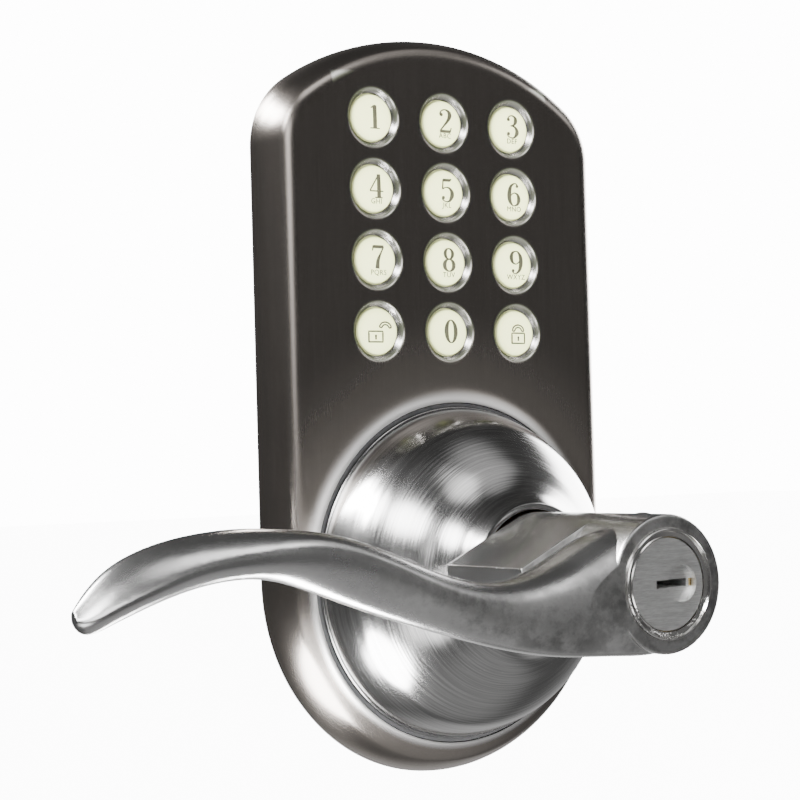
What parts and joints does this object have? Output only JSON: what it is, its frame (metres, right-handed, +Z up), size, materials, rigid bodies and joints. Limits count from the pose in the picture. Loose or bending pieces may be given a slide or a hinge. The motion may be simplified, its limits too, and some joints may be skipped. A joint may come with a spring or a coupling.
{
  "type": "keypad lock trim",
  "caption": "Arched escutcheon with round back-lit push buttons, bell-shaped rose and wave lever with a key cylinder in its hub; exterior half of a keypad entry lock.",
  "frame": {"origin": "on the lever's axis, in the plane of the door's outer face, midway between the mounting posts", "axes": "+Z up, +X to the right for someone outside, +Y into the door; the lever points along -X"},
  "size_m": [0.1535, 0.1149, 0.1581],
  "materials": {
    "satin_nickel_plate": "dark satin nickel, brushed up and down, clear lacquer",
    "satin_nickel": "satin nickel, brushed round the axis",
    "satin_nickel_worn": "satin nickel casting, hand-worn and mottled, bright edges",
    "bright_nickel": "bright nickel, dished and lightly worn",
    "brushed_nickel": "nickel-plated brass, coarse straight brushing",
    "backlit_caps": "translucent pale yellow-green, lit from behind, dark olive characters",
    "black_rubber": "matt",
    "foam": "closed-cell foam",
    "silicone": "milky silicone",
    "zinc_steel": "zinc-plated steel",
    "spring_steel": "oiled spring steel",
    "bronze": "sintered bronze",
    "cylinder_brass": "machined brass",
    "circuit_board": "green solder mask",
    "gold_contacts": "gold-plated pads",
    "lamp": "clear lamp body",
    "black_plastic": "moulded",
    "white_plastic": "moulded nylon"
  },
  "bodies": {
    "trim": {"escutcheon": "satin_nickel_plate", "back_plate": "zinc_steel", "back_plate_screws": "zinc_steel", "rear_gasket": "foam", "mounting_posts": "zinc_steel", "keypad_board": "circuit_board", "keypad_membrane": "silicone", "contact_pads": "gold_contacts", "backlight_lamps": "lamp", "board_screws": "zinc_steel", "board_chips": "black_plastic", "buzzer": "black_plastic", "cable_connector": "white_plastic", "rose_seal": "black_rubber", "rose_dome": "satin_nickel", "lever_bearing": "bronze", "spring_cage": "zinc_steel", "cage_screws": "zinc_steel", "thrust_washer": "white_plastic", "return_spring": "spring_steel"},
    "lever": {"lever_handle": "satin_nickel_worn", "lever_driver": "zinc_steel", "retaining_ring": "spring_steel", "lever_set_screw": "zinc_steel", "spindle": "zinc_steel", "spindle_pins": "zinc_steel", "cylinder_face_ring": "bright_nickel", "cylinder_housing": "cylinder_brass", "driver_pins": "cylinder_brass", "pin_springs": "spring_steel", "pin_cover": "cylinder_brass"},
    "key_plug": {"cylinder_plug": "brushed_nickel", "key_pins": "cylinder_brass", "plug_clip": "spring_steel", "tailpiece": "zinc_steel"},
    "button_1": {"button_1": "backlit_caps"},
    "button_2": {"button_2": "backlit_caps"},
    "button_3": {"button_3": "backlit_caps"},
    "button_4": {"button_4": "backlit_caps"},
    "button_5": {"button_5": "backlit_caps"},
    "button_6": {"button_6": "backlit_caps"},
    "button_7": {"button_7": "backlit_caps"},
    "button_8": {"button_8": "backlit_caps"},
    "button_9": {"button_9": "backlit_caps"},
    "button_0": {"button_0": "backlit_caps"},
    "button_unlock": {"button_unlock": "backlit_caps"},
    "button_lock": {"button_lock": "backlit_caps"}
  },
  "joints": [
    {"name": "lever_turn", "type": "hinge", "parent": "trim", "child": "lever", "pos_m": [0, 0, 0], "axis": [0, -1, 0], "range_deg": [-50, 50], "stiffness_Nm_per_rad": 0.9, "deforming": ["return_spring"]},
    {"name": "key_turn", "type": "hinge", "parent": "lever", "child": "key_plug", "pos_m": [0, 0, 0], "axis": [0, -1, 0], "range_deg": [-90, 90]},
    {"name": "button_1_press", "type": "slide", "parent": "trim", "child": "button_1", "axis": [0, 1, 0], "range_m": [0, 0.0009], "stiffness_N_per_m": 800, "deforming": ["keypad_membrane"]},
    {"name": "button_2_press", "type": "slide", "parent": "trim", "child": "button_2", "axis": [0, 1, 0], "range_m": [0, 0.0009], "stiffness_N_per_m": 800, "deforming": ["keypad_membrane"]},
    {"name": "button_3_press", "type": "slide", "parent": "trim", "child": "button_3", "axis": [0, 1, 0], "range_m": [0, 0.0009], "stiffness_N_per_m": 800, "deforming": ["keypad_membrane"]},
    {"name": "button_4_press", "type": "slide", "parent": "trim", "child": "button_4", "axis": [0, 1, 0], "range_m": [0, 0.0009], "stiffness_N_per_m": 800, "deforming": ["keypad_membrane"]},
    {"name": "button_5_press", "type": "slide", "parent": "trim", "child": "button_5", "axis": [0, 1, 0], "range_m": [0, 0.0009], "stiffness_N_per_m": 800, "deforming": ["keypad_membrane"]},
    {"name": "button_6_press", "type": "slide", "parent": "trim", "child": "button_6", "axis": [0, 1, 0], "range_m": [0, 0.0009], "stiffness_N_per_m": 800, "deforming": ["keypad_membrane"]},
    {"name": "button_7_press", "type": "slide", "parent": "trim", "child": "button_7", "axis": [0, 1, 0], "range_m": [0, 0.0009], "stiffness_N_per_m": 800, "deforming": ["keypad_membrane"]},
    {"name": "button_8_press", "type": "slide", "parent": "trim", "child": "button_8", "axis": [0, 1, 0], "range_m": [0, 0.0009], "stiffness_N_per_m": 800, "deforming": ["keypad_membrane"]},
    {"name": "button_9_press", "type": "slide", "parent": "trim", "child": "button_9", "axis": [0, 1, 0], "range_m": [0, 0.0009], "stiffness_N_per_m": 800, "deforming": ["keypad_membrane"]},
    {"name": "button_0_press", "type": "slide", "parent": "trim", "child": "button_0", "axis": [0, 1, 0], "range_m": [0, 0.0009], "stiffness_N_per_m": 800, "deforming": ["keypad_membrane"]},
    {"name": "button_unlock_press", "type": "slide", "parent": "trim", "child": "button_unlock", "axis": [0, 1, 0], "range_m": [0, 0.0009], "stiffness_N_per_m": 800, "deforming": ["keypad_membrane"]},
    {"name": "button_lock_press", "type": "slide", "parent": "trim", "child": "button_lock", "axis": [0, 1, 0], "range_m": [0, 0.0009], "stiffness_N_per_m": 800, "deforming": ["keypad_membrane"]}
  ]
}
